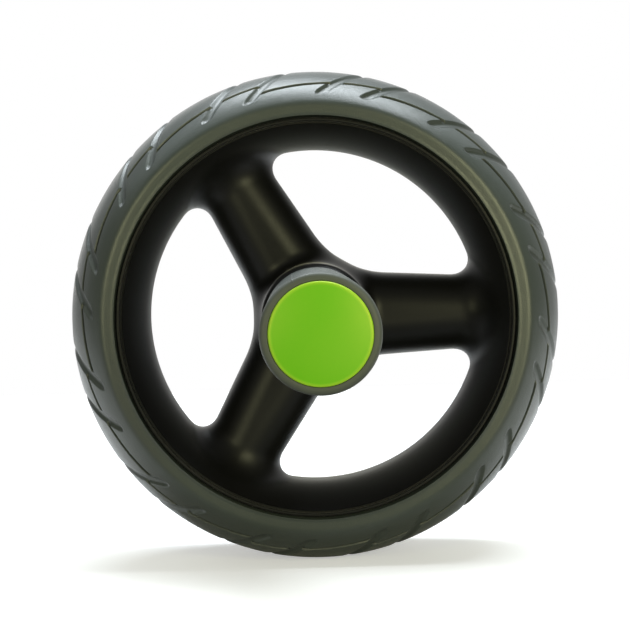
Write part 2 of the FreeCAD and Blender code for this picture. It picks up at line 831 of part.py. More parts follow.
cage = new_body("bearing_cage_right")
turn(
    cage,
    "cage_turned",
    [
        (f"({pitch_radius} - dims.cage_thickness / 2)", f"-({bearing_middle} + {cage_side})", None),
        (f"({pitch_radius} + dims.cage_thickness / 2)", f"-({bearing_middle} + {cage_side})", None),
        (f"({pitch_radius} + dims.cage_thickness / 2)", f"-({bearing_middle} - {cage_side})", None),
        (f"({pitch_radius} - dims.cage_thickness / 2)", f"-({bearing_middle} - {cage_side})", None),
    ],
)
pocket_sketch = new_sketch(cage, "ball_pocket_outline", "YZ_Plane")
add_circle(pocket_sketch, f"-{bearing_middle}", "0", f"({ball_diameter} / 2 + dims.pocket_clearance)")
pocket = cage.newObject("PartDesign::Pocket", "ball_pocket")
pocket.Profile = pocket_sketch
pocket.Type = "ThroughAll"
pocket.Reversed = True
doc.recompute()
around_axle(cage, "ball_pockets", [pocket], "dims.ball_count")

balls = []
for index in range(int(number("dims.ball_count"))):
    ball = doc.addObject("Part::Sphere", f"ball_{index}")
    ball.setExpression("Radius", f"{ball_diameter} / 2")
    ball.setExpression("Placement.Base.x", f"{pitch_radius} * cos(360 * {index} / dims.ball_count)")
    ball.setExpression("Placement.Base.y", f"-{bearing_middle}")
    ball.setExpression("Placement.Base.z", f"{pitch_radius} * sin(360 * {index} / dims.ball_count)")
    balls.append(ball)
doc.recompute()
ball_set = group("bearing_balls_right", balls)

# Hub cover, pressed into the hub's mouth and bearing on the outer ring only.
cover_face = f"({hub_face} - dims.cover_recess)"
cover_step_radius = f"({seal_seat} + {fit})"
cover = new_body("hub_cover_right")
turn(
    cover,
    "cover_turned",
    [
        (f"({collar_radius} + dims.cover_clearance)", f"-{cover_face}", None),
        (mouth_radius, f"-{cover_face}", None),
        (mouth_radius, f"-{bearing_outer}", None),
        (cover_step_radius, f"-{bearing_outer}", None),
        (cover_step_radius, f"-({bearing_outer} + dims.cover_step)", None),
        (f"({collar_radius} + dims.cover_clearance)", f"-({bearing_outer} + dims.cover_step)", None),
    ],
)

# Clamp collar between the bearing's inner ring and the handle.
collar = new_body("clamp_collar_right")
turn(
    collar,
    "collar_turned",
    [
        (f"({axle_radius} + {fit})", f"-{bearing_outer}", None),
        (inner_shoulder, f"-{bearing_outer}", None),
        (collar_radius, f"-({bearing_outer} + dims.cover_step / 2)", None),
        (collar_radius, f"-{handle_start}", None),
        (f"({axle_radius} + {fit})", f"-{handle_start}", None),
    ],
)

# Handle core: outer and inner tube joined by an end web and ribs.
bead_start = f"({core_end} - dims.cap_skirt + dims.cap_bead)"
bead_middle = f"({bead_start} + 2 * dims.cap_bead)"
bead_end = f"({bead_start} + 4 * dims.cap_bead)"
core = new_body("handle_core_right")
turn(
    core,
    "core_turned",
    [
        (f"({axle_radius} + {fit})", f"-{handle_start}", None),
        (core_radius, f"-{handle_start}", None),
        (core_radius, f"-{core_end}", None),
        (core_inside, f"-{core_end}", None),
        (core_inside, f"-{bead_end}", None),
        (f"({core_inside} + dims.cap_bead)", f"-{bead_middle}", None),
        (core_inside, f"-{bead_start}", None),
        (core_inside, f"-({handle_start} + dims.core_web)", None),
        (collar_radius, f"-({handle_start} + dims.core_web)", None),
        (collar_radius, f"-{washer_start}", None),
        (f"({axle_radius} + {fit})", f"-{washer_start}", None),
    ],
)
rib_sketch = new_sketch(core, "core_rib_outline", "XY_Plane")
add_outline(
    rib_sketch,
    [
        (f"({collar_radius} - {fit})", f"-({handle_start} + dims.core_web / 2)", None),
        (f"({core_inside} + {fit})", f"-({handle_start} + dims.core_web / 2)", None),
        (f"({core_inside} + {fit})", f"-({washer_start} - dims.core_web)", None),
        (f"({collar_radius} - {fit})", f"-({washer_start} - dims.core_web)", None),
    ],
)
rib = core.newObject("PartDesign::Pad", "core_rib")
rib.Profile = rib_sketch
rib.Midplane = True
rib.setExpression("Length", "dims.core_rib")
doc.recompute()
around_axle(core, "core_ribs", [rib], "dims.core_rib_count")

# Soft grip sleeve with anti-slip grooves and a rounded outer end.
pocket_radius = f"({cap_radius} + dims.cap_gap)"
end_round = f"min(dims.grip_end_round; {grip_radius} - {pocket_radius} - 0.15)"
grip = new_body("grip_right")
grip_turned = turn(
    grip,
    "grip_turned",
    [
        (core_radius, f"-{handle_start}", None),
        (grip_radius, f"-{handle_start}", None),
        (grip_radius, f"-({grip_end} - {end_round})", (end_round, "right")),
        (f"({grip_radius} - {end_round})", f"-{grip_end}", None),
        (pocket_radius, f"-{grip_end}", None),
        (pocket_radius, f"-{core_end}", None),
        (core_radius, f"-{core_end}", None),
    ],
)
grip_lip = circle_at(grip_radius, f"-{handle_start}")
round_edges(grip, "grip_inner_rounding", grip_turned, grip_lip, "dims.grip_inner_round")
groove_middle = f"({grip_end} - dims.grip_groove_start)"
groove = turn(
    grip,
    "grip_groove",
    [
        (f"({grip_radius} - dims.grip_groove_depth)", f"-({groove_middle} - dims.grip_groove_width / 4)", None),
        (f"({grip_radius} - dims.grip_groove_depth)", f"-({groove_middle} + dims.grip_groove_width / 4)", None),
        (f"({grip_radius} + dims.grip_groove_depth)", f"-({groove_middle} + dims.grip_groove_width)", None),
        (f"({grip_radius} + dims.grip_groove_depth)", f"-({groove_middle} - dims.grip_groove_width)", None),
    ],
    "Groove",
)
grooves = grip.newObject("PartDesign::LinearPattern", "grip_grooves")
grooves.Originals = [groove]
grooves.Direction = (plane_of(grip, "Y_Axis"), [""])
grooves.setExpression("Length", "dims.grip_groove_pitch * (dims.grip_groove_count - 1)")
grooves.setExpression("Occurrences", "dims.grip_groove_count")
grip.Tip = grooves
doc.recompute()

# Domed end cap that snaps into the handle core.
cap_rim = f"({core_end} + dims.cap_edge)"
skirt_radius = f"({core_inside} - {fit})"
dome_radius = f"(({cap_radius}) ^ 2 + dims.cap_dome ^ 2) / (2 * dims.cap_dome)"
cap = new_body("end_cap_right")
cap_turned = turn(
    cap,
    "cap_turned",
    [
        ("0", f"-{core_end}", None),
        (f"({skirt_radius} - dims.cap_skirt_wall)", f"-{core_end}", None),
        (f"({skirt_radius} - dims.cap_skirt_wall)", f"-({core_end} - dims.cap_skirt)", None),
        (skirt_radius, f"-({core_end} - dims.cap_skirt)", None),
        (skirt_radius, f"-{bead_start}", None),
        (f"({skirt_radius} + dims.cap_bead)", f"-{bead_middle}", None),
        (skirt_radius, f"-{bead_end}", None),
        (skirt_radius, f"-{core_end}", None),
        (cap_radius, f"-{core_end}", None),
        (cap_radius, f"-{cap_rim}", (dome_radius, "left")),
        ("0", f"-({cap_rim} + dims.cap_dome)", None),
    ],
)
round_edges(cap, "cap_edge_rounding", cap_turned, circle_at(cap_radius, f"-{cap_rim}"), "dims.cap_edge_round")

# Washer and lock nut under each end cap.
washer = ring("end_washer_right", f"({axle_radius} + {fit})", washer_radius, washer_start, nut_start)
nut = new_body("lock_nut_right")
nut_chamfer = f"({nut_corner} - dims.nut_flats / 2)"
collar_start = f"({nut_end} - dims.nut_collar)"
collar_outside = f"({axle_radius} + 0.55 * (dims.nut_flats / 2 - {axle_radius}))"
turn(
    nut,
    "nut_turned",
    [
        (f"({axle_radius} + {fit})", f"-{nut_start}", None),
        (f"({nut_corner} - {nut_chamfer})", f"-{nut_start}", None),
        (nut_corner, f"-({nut_start} + {nut_chamfer} / 2)", None),
        (nut_corner, f"-({collar_start} - {nut_chamfer} / 2)", None),
        (f"({nut_corner} - {nut_chamfer})", f"-{collar_start}", None),
        (collar_outside, f"-{collar_start}", None),
        (collar_outside, f"-{nut_end}", None),
        (f"({axle_radius} + {fit})", f"-{nut_end}", None),
    ],
)
flats_sketch = new_sketch(nut, "nut_flats_outline", "XZ_Plane")
add_outline(
    flats_sketch,
    [(f"{nut_corner} * cos({60 * n} + 30)", f"{nut_corner} * sin({60 * n} + 30)", None) for n in range(6)],
)
add_circle(flats_sketch, "0", "0", f"1.2 * {nut_corner}")
flats = nut.newObject("PartDesign::Pocket", "nut_flats")
flats.Profile = flats_sketch
flats.Type = "ThroughAll"
flats.Reversed = True
nut.Tip = flats
doc.recompute()

right_pieces = {
    "bearing_outer_ring": outer_ring,
    "bearing_inner_ring": inner_ring,
    "bearing_seals": seals,
    "bearing_cage": cage,
    "bearing_balls": ball_set,
    "hub_cover": cover,
    "clamp_collar": collar,
    "handle_core": core,
    "grip": grip,
    "end_cap": cap,
}
for name, piece in right_pieces.items():
    piece.Label = name + "_right"
    handed += [piece, left_of(piece, name + "_left")]
handed.append(group("end_washers", [washer, left_of(washer, "end_washer_left")]))
handed.append(group("lock_nuts", [nut, left_of(nut, "lock_nut_left")]))

doc.recompute()
for item in doc.Objects:
    if any(word in item.State for word in ("Invalid", "Error")):
        raise RuntimeError(f"{item.Label} did not build: {item.State}")
os.makedirs("parts", exist_ok=True)
for piece in handed:
    if piece.Shape.isNull() or not piece.Shape.isValid():
        raise RuntimeError(f"{piece.Label} has no valid shape")
    piece.Shape.exportStep(f"parts/{piece.Label}.step")
    print(piece.Label, len(piece.Shape.Solids), "solids", round(piece.Shape.Volume), "mm3")
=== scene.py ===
import math

import bmesh
import bpy
import numpy as np
from mathutils import Matrix, Vector


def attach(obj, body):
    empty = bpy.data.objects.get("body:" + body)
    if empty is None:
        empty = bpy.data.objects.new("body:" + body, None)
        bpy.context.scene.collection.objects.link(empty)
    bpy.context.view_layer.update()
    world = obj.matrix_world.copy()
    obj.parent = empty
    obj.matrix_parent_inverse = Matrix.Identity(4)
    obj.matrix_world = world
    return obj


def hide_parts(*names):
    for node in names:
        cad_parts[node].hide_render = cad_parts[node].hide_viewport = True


# Ab wheel roller: the axle lies along Y, the photographed side is -Y, Z is up.
# Sizes in the pieces' dictionaries are millimetres and degrees.
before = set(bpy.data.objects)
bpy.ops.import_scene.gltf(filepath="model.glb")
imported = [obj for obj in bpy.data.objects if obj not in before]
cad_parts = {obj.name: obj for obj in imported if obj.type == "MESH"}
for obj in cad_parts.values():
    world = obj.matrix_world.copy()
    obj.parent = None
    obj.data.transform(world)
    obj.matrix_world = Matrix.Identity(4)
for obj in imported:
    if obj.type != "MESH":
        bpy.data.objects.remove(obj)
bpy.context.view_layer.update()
mm = 0.001
weldDistance = 0.004 * mm
crispAngle = 38
print("frame:", len(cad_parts), "nodes")


# Ease from 0 at a to 1 at b: 3t^2 - 2t^3.
def ease(a, b, x):
    t = np.clip((x - a) / (b - a), 0, 1)
    return t * t * (3 - 2 * t)


# Grid cell (i, j) joins points (i, j), (i+1, j), (i+1, j+1), (i, j+1); wrapped ways join last to first.
def gridCells(rows, columns, wrapRows, wrapColumns):
    rowCount = rows - (not wrapRows)
    columnCount = columns - (not wrapColumns)
    i, j = np.meshgrid(np.arange(rowCount), np.arange(columnCount), indexing="ij")
    here = i * columns
    below = (i + 1) % rows * columns
    along = (j + 1) % columns
    return np.stack([here + j, below + j, below + along, here + along], -1).reshape(-1, 4)


# Smooth shading, with edges sharper than the angle kept crisp.
def shadeSmooth(mesh, sharpAngle):
    mesh.polygons.foreach_set("use_smooth", np.ones(len(mesh.polygons), bool))
    mesh.set_sharp_from_angle(angle=math.radians(sharpAngle))


# Grids of (points, wrapRows, wrapColumns) become one welded mesh; pointValues are kept as attributes.
def pieceFromGrids(name, grids, sharpAngle=crispAngle, pointValues=None):
    points = np.concatenate([grid.reshape(-1, 3) for grid, _, _ in grids])
    firsts = np.cumsum([0] + [grid.shape[0] * grid.shape[1] for grid, _, _ in grids])
    cells = np.concatenate([
        gridCells(*grid.shape[:2], wrapRows, wrapColumns) + first
        for (grid, wrapRows, wrapColumns), first in zip(grids, firsts)
    ])
    mesh = bpy.data.meshes.new(name)
    mesh.from_pydata((points * mm).tolist(), [], cells.tolist())
    for key, values in (pointValues or {}).items():
        kept = mesh.attributes.new(key, "FLOAT", "POINT")
        kept.data.foreach_set("value", values.ravel().astype(np.float32))
    weld = bmesh.new()
    weld.from_mesh(mesh)
    bmesh.ops.remove_doubles(weld, verts=weld.verts, dist=weldDistance)
    bmesh.ops.recalc_face_normals(weld, faces=weld.faces)
    if weld.calc_volume(signed=True) < 0:
        bmesh.ops.reverse_faces(weld, faces=weld.faces)
    openEdges = sum(1 for edge in weld.edges if not edge.is_manifold)
    volume = weld.calc_volume(signed=True) * 1e6
    print(f"{name}: {len(weld.faces)} faces, {openEdges} open edges, {volume:.1f} cm3")
    weld.to_mesh(mesh)
    weld.free()
    shadeSmooth(mesh, sharpAngle)
    piece = bpy.data.objects.new(name, mesh)
    bpy.context.scene.collection.objects.link(piece)
    return piece


# Profile of (radius, along) turned about the axle: x = r cos a, z = r sin a.
def turned(profile, angles, side):
    radius, along = profile[:, 0], profile[:, 1]
    level = np.broadcast_to(side * along, (len(angles), len(along)))
    return np.stack([np.outer(np.cos(angles), radius), level, np.outer(np.sin(angles), radius)], -1)


# Corners of (radius, along, round): each becomes an arc of that round tangent to its two sides.
# An open profile keeps its first and last corners as they are.
def roundedProfile(corners, closed=True, steps=6):
    leastRound = 1e-4
    corners = np.array(corners, float)
    spot, bend = corners[:, :2], np.maximum(corners[:, 2:], leastRound)
    ends = spot[:1], spot[-1:]
    back, ahead = np.roll(spot, 1, 0) - spot, np.roll(spot, -1, 0) - spot
    if not closed:
        spot, bend, back, ahead = spot[1:-1], bend[1:-1], back[1:-1], ahead[1:-1]
    back = back / np.linalg.norm(back, axis=1, keepdims=True)
    ahead = ahead / np.linalg.norm(ahead, axis=1, keepdims=True)
    half = np.arccos(np.clip((back * ahead).sum(1, keepdims=True), -1, 1)) / 2
    inward = (back + ahead) / np.linalg.norm(back + ahead, axis=1, keepdims=True)
    centre = spot + inward * bend / np.sin(half)
    start = spot + back * bend / np.tan(half) - centre
    finish = spot + ahead * bend / np.tan(half) - centre
    sweep = (math.pi - 2 * half)[:, None]
    share = np.linspace(0, 1, steps)[None, :, None]
    arc = start[:, None] * np.sin((1 - share) * sweep) + finish[:, None] * np.sin(share * sweep)
    rounded = (centre[:, None] + arc / np.sin(sweep)).reshape(-1, 2)
    return rounded if closed else np.concatenate([ends[0], rounded, ends[1]])


# Angles spread evenly round a circle, the last one a step short of the first.
def fullCircle(count):
    return np.linspace(0, 2 * math.pi, count, endpoint=False)


# Tyre: rubber ring with paired slanted grooves and a stepped line on each side of the crown.
# Columns count in half widths of a groove, tip rows in grooveEnd, line rows in lineHalfWidth.
tyreSizes = {
    "radius": 100, "halfWidth": 33, "crownFlat": 6, "crownRise": 14.6, "shoulderRound": 4.6,
    "beadRadius": 80.62, "beadRise": 0.1, "beadRound": 0.16, "beadUndercut": 0.12, "beadDepth": 2.4,
    "boreRadius": 80.02, "seatDepth": 3.6, "seatMiddle": 20, "ribRadius": 82.52, "ribHalfWidth": 5.02,
    "pitches": 12, "pairStep": 18.4, "stagger": 15, "phase": -2.2,
    "grooveHalfWidth": 2.1, "grooveDepth": 1.25, "grooveInner": 3.4, "grooveOuter": 28.6, "grooveEnd": 1.8,
    "grooveWall": (1.14, 0.48), "grooveRamp": (1, 0.45), "shutWidth": 0.3,
    "pathStations": (30, 24, 3), "pathAngles": (0, -4.2, -11.7),
    "lineStation": 25.15, "lineStep": 2.15, "lineDepth": 0.85, "lineHalfWidth": 0.62,
    "lineWall": (1.18, 0.68), "stepLength": 1.1, "stepShift": 0.55, "stepLean": 0.9,
    "followStart": 20, "followFull": 1.3, "followEnd": 28.9,
    "columns": (-1.2, -1.1, -0.94, -0.72, -0.5, 0, 0.5, 0.72, 0.94, 1.1, 1.2),
    "plainColumns": (0.26, 0.74, 5), "crownRows": (0, 0.8), "tipRows": (-1.08, -1, -0.9, -0.7, -0.4, 0),
    "plainRows": (4.2, 6, 8, 10.5, 13, 15.5, 18, 20, 21.6),
    "lineRows": (-1.8, -1.2, -1, -0.7, 0, 0.7, 1, 1.2, 1.8),
    "outerRows": (27.5, 28.3), "edgeRows": (31.2, 31.85), "shoulderRows": 7, "wallRings": (83, 82),
    "beadTurn": (0.2, 1, 6), "sharpAngle": 50,
}


# Circle arc crown: r = R - b + b cos(lean), station = flat + b sin(lean); grooves sink along the
# section's normal. Columns follow the slanted groove path, a quadratic through three stations,
# and rows follow the stepped line.
def tyreHalf(t, side):
    pitch = 360 / t["pitches"]
    run = t["halfWidth"] - t["crownFlat"]
    bend = (t["crownRise"] ** 2 + run ** 2) / (2 * t["crownRise"])
    across = np.array(t["columns"])
    count = len(across)
    starts = np.array([0, t["stagger"] + t["pairStep"] - pitch, t["stagger"], t["pairStep"]])
    sides = np.array([-1, 1, 1, -1])
    gap = np.linspace(*t["plainColumns"])
    wide = starts[2] - starts[1]
    last = pitch - starts[3]
    base = np.concatenate([np.repeat(starts[:2], count), starts[1] + wide * gap,
                           np.repeat(starts[2:], count), starts[3] + last * gap])
    offset = np.concatenate([np.tile(across, 2), gap * 0, np.tile(across, 2), gap * 0])
    owner = np.concatenate([np.repeat(sides[:2], count), gap * 0, np.repeat(sides[2:], count), gap * 0])
    turns = pitch * np.repeat(np.arange(t["pitches"]), len(base))
    base = (np.tile(base, t["pitches"]) + turns)[:, None]
    offset = np.tile(offset, t["pitches"])[:, None]
    owner = np.tile(owner, t["pitches"])[:, None]

    inner, outer, end = t["grooveInner"], t["grooveOuter"], t["grooveEnd"]
    onLine = t["lineStation"] + t["lineHalfWidth"] * np.array(t["lineRows"])
    tip = end * np.array(t["tipRows"])
    rowStation = np.concatenate([t["crownRows"], inner + tip, t["plainRows"], onLine,
                                 t["outerRows"], outer - tip[::-1], t["edgeRows"]])
    fromLine = np.abs(rowStation - t["lineStation"]) / t["lineHalfWidth"]
    stagger = t["stagger"] if side > 0 else 0
    toothAngle = np.mod(base + t["stepLean"] * offset - t["pairStep"] - stagger - t["stepShift"], pitch)
    jump = t["stepLength"]
    span = pitch - jump
    tooth = np.where(toothAngle < span, 2 * toothAngle / span - 1, 1 - 2 * (toothAngle - span) / jump)
    fullFrom, fullTo = t["lineStation"] - t["followFull"], t["lineStation"] + t["followFull"]
    follow = np.interp(rowStation, [t["followStart"], fullFrom, fullTo, t["followEnd"]], [0, 1, 1, 0])
    station = rowStation + follow * t["lineStep"] * tooth
    lean = np.arcsin(np.clip((station - t["crownFlat"]) / bend, 0, 1))
    radius = t["radius"] - bend + bend * np.cos(lean)

    path = np.polyfit(t["pathStations"], t["pathAngles"], 2)
    reach = np.minimum(station, outer + end)
    slant = radius * np.radians(np.polyval(np.polyder(path), reach)) * np.cos(lean)
    halfAngle = np.degrees(t["grooveHalfWidth"] / radius) * np.sqrt(1 + slant ** 2)
    past = np.maximum(inner - station, station - outer) / end
    roundEnd = np.sqrt(np.clip(1 - np.clip(past, 0, 1) ** 2, 0, 1))
    own = owner == side
    shut = t["shutWidth"]
    width = np.where(own, shut + (1 - shut) * roundEnd, shut)
    angle = base + offset * halfAngle * width + np.polyval(path, reach) + t["phase"]
    groove = t["grooveDepth"] * own * ease(*t["grooveWall"], np.abs(offset)) * ease(*t["grooveRamp"], past)
    line = t["lineDepth"] * ease(*t["lineWall"], fromLine)
    sunk = np.maximum(groove, line)
    radius = radius - sunk * np.cos(lean)
    station = station - sunk * np.sin(lean)

    shoulder = t["shoulderRound"]
    hubSide = t["radius"] - bend
    shoulderAcross = t["halfWidth"] - shoulder
    shoulderRadius = hubSide + math.sqrt((bend - shoulder) ** 2 - (shoulderAcross - t["crownFlat"]) ** 2)
    first = math.atan2(shoulderAcross - t["crownFlat"], shoulderRadius - hubSide)
    turn = np.linspace(first, math.pi / 2, t["shoulderRows"])[1:]
    bead = t["beadRound"]
    beadTurn = np.linspace(*t["beadTurn"]) * math.pi
    beadHigh = t["halfWidth"] + t["beadRise"]
    wallRadius = np.concatenate([
        shoulderRadius + shoulder * np.cos(turn), t["wallRings"], t["beadRadius"] + bead * np.cos(beadTurn),
        [t["beadRadius"] + t["beadUndercut"]], [t["boreRadius"]] * 3, [t["ribRadius"]] * 2,
    ])
    wallStation = np.concatenate([
        shoulderAcross + shoulder * np.sin(turn), [t["halfWidth"]] * 2,
        beadHigh - bead + bead * np.sin(beadTurn),
        [t["halfWidth"] - t["beadDepth"], t["halfWidth"] - t["seatDepth"], t["seatMiddle"]],
        [t["ribHalfWidth"]] * 2, [0],
    ])
    columns, walls = len(base), len(wallRadius)
    radius = np.concatenate([radius, np.tile(wallRadius, (columns, 1))], 1)
    station = np.concatenate([station, np.tile(wallStation, (columns, 1))], 1)
    angle = np.radians(np.concatenate([angle, np.tile(angle[:, -1:], (1, walls))], 1))
    # Painted shade: the stepped line's share of a dark tone, standing in for the shade in the narrow slit.
    treadSlitShade = line / t["lineDepth"] * (1 - groove / t["grooveDepth"])
    slit = np.concatenate([treadSlitShade, np.zeros((columns, walls))], 1)
    points = np.stack([radius * np.cos(angle), side * station, radius * np.sin(angle)], -1)
    return points, slit


leftPoints, leftSlitShade = tyreHalf(tyreSizes, 1)
rightPoints, rightSlitShade = tyreHalf(tyreSizes, -1)
tyrePoints = np.concatenate([leftPoints, rightPoints[:, -2:0:-1]], 1)
tyreSlitShade = np.concatenate([leftSlitShade, rightSlitShade[:, -2:0:-1]], 1)
tyre = pieceFromGrids("tyreTread", [(tyrePoints, True, True)], tyreSizes["sharpAngle"], {"slit": tyreSlitShade})
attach(tyre, "wheel")
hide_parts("tyre")
print("tyre done")


# Wheel half: rim arch, three rounded spokes and hub, blended with rounds, above the middle plane.
wheelSizes = {
    "aperture": 68.4, "archBend": 54.6, "edgeAngle": 63.2, "apex": 20.91, "webRound": 37.3,
    "spokeRound": 15.4, "spokeDepth": 15, "rootRound": 10, "hubRoot": 5, "windowCentre": 45,
    "seam": 0.03, "seamChamfer": 0.22,
    "lipStart": 77.4, "lipLedge": 29.2, "lipInner": 78.2, "lipFace": 31.2, "lipOuter": 79.6,
    "ledgeRounds": (0.12, 0.2), "lipRounds": (0.5, 0.4),
    "gapFloor": 28.8, "seatRadius": 80, "ribRadius": 82.5, "ribHalfWidth": 5,
    "hubRadius": 22, "hubFace": 36.5, "hubMouthRound": 4.5, "hubWallTop": 30, "coverRadius": 15.02,
    "coverFloor": 32, "coverRound": 0.5, "bearingRadius": 14.02, "bearingFloor": 24, "boreRadius": 12,
    "boreRound": 0.4, "screwCircle": 46, "wellRadius": 3.9, "wellFloor": 5, "wellRound": 0.3,
    "wellMouth": 14.6, "wellTop": 17, "wellFlare": 2.4,
    "lipRays": 80, "spokeRays": 36, "hubRays": 40, "hubWallRows": 6, "wellSides": 40,
    "steps": 44, "crowding": 1.9, "riseLimit": 34.0,
}


# Two distance fields joined with a round of the given radius in the crease between them.
def roundJoin(a, b, bend):
    return np.maximum(bend, np.minimum(a, b)) - np.hypot(np.maximum(bend - a, 0), np.maximum(bend - b, 0))


# Distance field of the wheel in one window's own axes (p along the window's middle, q across, y depth):
# the window is a wedge with a round apex, the spoke edge a quarter ellipse, the rim arch a circle in section.
def wheelField(w, p, q, y):
    lean = math.radians(w["edgeAngle"])
    pointed = w["apex"] + w["webRound"] / math.sin(lean)
    alongEdge = (p - pointed) * math.cos(lean) + np.abs(q) * math.sin(lean)
    offEdge = np.abs(q) * math.cos(lean) - (p - pointed) * math.sin(lean)
    inside = np.where(alongEdge < 0, np.hypot(p - pointed, q), offEdge) - w["webRound"]
    bend = w["spokeRound"]
    spoke = np.hypot(np.maximum(bend - inside, 0), y * bend / w["spokeDepth"]) - bend
    radius = np.hypot(p, q)
    rim = np.hypot(radius - w["aperture"] - w["archBend"], y) - w["archBend"]
    return roundJoin(roundJoin(spoke, rim, w["rootRound"]), radius - w["hubRadius"], w["hubRoot"])


# Halving search for the last value at which the test still holds.
def halve(test, low, high, rounds=46):
    for _ in range(rounds):
        middle = (low + high) / 2
        keep = test(middle)
        low = np.where(keep, middle, low)
        high = np.where(keep, high, middle)
    return (low + high) / 2


# Rays from the window's centre to the lip, the spoke middles and the hub; points crowd at the window's edge
# as share^crowding, and each point rises to where the field is zero.
def wheelHalf(w):
    sixth = math.pi / 3
    lip = np.linspace(-sixth, sixth, w["lipRays"], endpoint=False)
    down = np.linspace(w["lipStart"], w["hubRadius"], w["spokeRays"], endpoint=False)
    back = np.linspace(sixth, -sixth, w["hubRays"], endpoint=False)
    up = np.linspace(w["hubRadius"], w["lipStart"], w["spokeRays"], endpoint=False)
    far = np.concatenate([
        w["lipStart"] * np.stack([np.cos(lip), np.sin(lip)], -1),
        np.outer(down, [math.cos(sixth), math.sin(sixth)]),
        w["hubRadius"] * np.stack([np.cos(back), np.sin(back)], -1),
        np.outer(up, [math.cos(sixth), -math.sin(sixth)]),
    ])
    centre = np.array([w["windowCentre"], 0])

    def outsideAt(share):
        spot = centre + (far - centre) * share[:, None]
        return wheelField(w, spot[:, 0], spot[:, 1], 0) > 0

    share = halve(outsideAt, np.zeros(len(far)), np.ones(len(far)))
    edge = centre + (far - centre) * share[:, None]
    step = np.linspace(0, 1, w["steps"]) ** w["crowding"]
    spot = edge[:, None] + (far - edge)[:, None] * step[None, :, None]
    p, q = spot[..., 0], spot[..., 1]
    onSurface = -1e-6
    highest = np.full(p.shape, w["riseLimit"])
    rise = halve(lambda y: wheelField(w, p, q, y) < onSurface, np.zeros(p.shape), highest)

    seam = w["seam"]
    chamferTop = seam + w["seamChamfer"]
    slope = (far - edge) / np.linalg.norm(far - edge, axis=1, keepdims=True)
    seamSpot = edge + slope * w["seamChamfer"]
    lifted = np.maximum(rise + seam, chamferTop)
    lifted[:, 0] = chamferTop
    top = np.concatenate([seamSpot[:, None], spot], 1)
    height = np.concatenate([np.full((len(far), 1), seam), lifted], 1)
    under = np.stack([seamSpot, (seamSpot + far) / 2, far], 1)
    underHeight = np.full(under.shape[:2], seam)

    grids = []
    for turn in (1, 3, 5):
        c, s = math.cos(turn * sixth), math.sin(turn * sixth)
        for plan, level in ((top, height), (under, underHeight)):
            x = plan[..., 0] * c - plan[..., 1] * s
            z = plan[..., 0] * s + plan[..., 1] * c
            grids.append((np.stack([x, level, z], -1), True, False))
    hubStart = w["lipRays"] + w["spokeRays"]
    hubRise = np.roll(height[hubStart:hubStart + w["hubRays"], -1][::-1], 1)
    return grids, hubRise


# Lathe strips that close the half: the lip and tyre seat outside, the hub and bearing seat inside,
# and a plain wall from the spokes' roots up to the hub's mouth.
def wheelStrips(w, hubRise):
    seam = w["seam"]
    lipTop = math.sqrt(w["archBend"] ** 2 - (w["aperture"] + w["archBend"] - w["lipStart"]) ** 2) + seam
    lip = roundedProfile([
        (w["lipStart"], lipTop, 0), (w["lipStart"], w["lipLedge"], w["ledgeRounds"][0]),
        (w["lipInner"], w["lipLedge"], w["ledgeRounds"][1]), (w["lipInner"], w["lipFace"], w["lipRounds"][0]),
        (w["lipOuter"], w["lipFace"], w["lipRounds"][1]), (w["lipOuter"], w["gapFloor"], 0),
        (w["seatRadius"], w["gapFloor"], 0), (w["seatRadius"], w["ribHalfWidth"], 0),
        (w["ribRadius"], w["ribHalfWidth"], 0), (w["ribRadius"], seam, 0), (w["lipStart"], seam, 0),
    ], closed=False, steps=5)
    hub = roundedProfile([
        (w["hubRadius"], w["hubWallTop"], 0), (w["hubRadius"], w["hubFace"], w["hubMouthRound"]),
        (w["coverRadius"], w["hubFace"], w["coverRound"]), (w["coverRadius"], w["coverFloor"], 0),
        (w["bearingRadius"], w["coverFloor"], 0), (w["bearingRadius"], w["bearingFloor"], 0),
        (w["boreRadius"], w["bearingFloor"], w["boreRound"]), (w["boreRadius"], seam, 0),
        (w["hubRadius"], seam, 0),
    ], closed=False, steps=5)
    lipGrid = turned(lip, fullCircle(3 * w["lipRays"]), 1)
    hubAngles = fullCircle(3 * w["hubRays"])
    hubGrid = turned(hub, hubAngles, 1)
    rise = np.tile(hubRise, 3)[:, None]
    level = rise + (w["hubWallTop"] - rise) * np.linspace(0, 1, w["hubWallRows"])
    wallX = np.broadcast_to(w["hubRadius"] * np.cos(hubAngles)[:, None], level.shape)
    wallZ = np.broadcast_to(w["hubRadius"] * np.sin(hubAngles)[:, None], level.shape)
    wall = np.stack([wallX, level, wallZ], -1)
    return [(lipGrid, True, False), (hubGrid, True, False), (wall, True, False)]


windowGrids, hubRise = wheelHalf(wheelSizes)
halfGrids = windowGrids + wheelStrips(wheelSizes, hubRise)
wheelRight = pieceFromGrids("wheelRight", [(points * [1, -1, 1], r, c) for points, r, c in halfGrids])
wheelLeft = pieceFromGrids("wheelLeft", halfGrids)


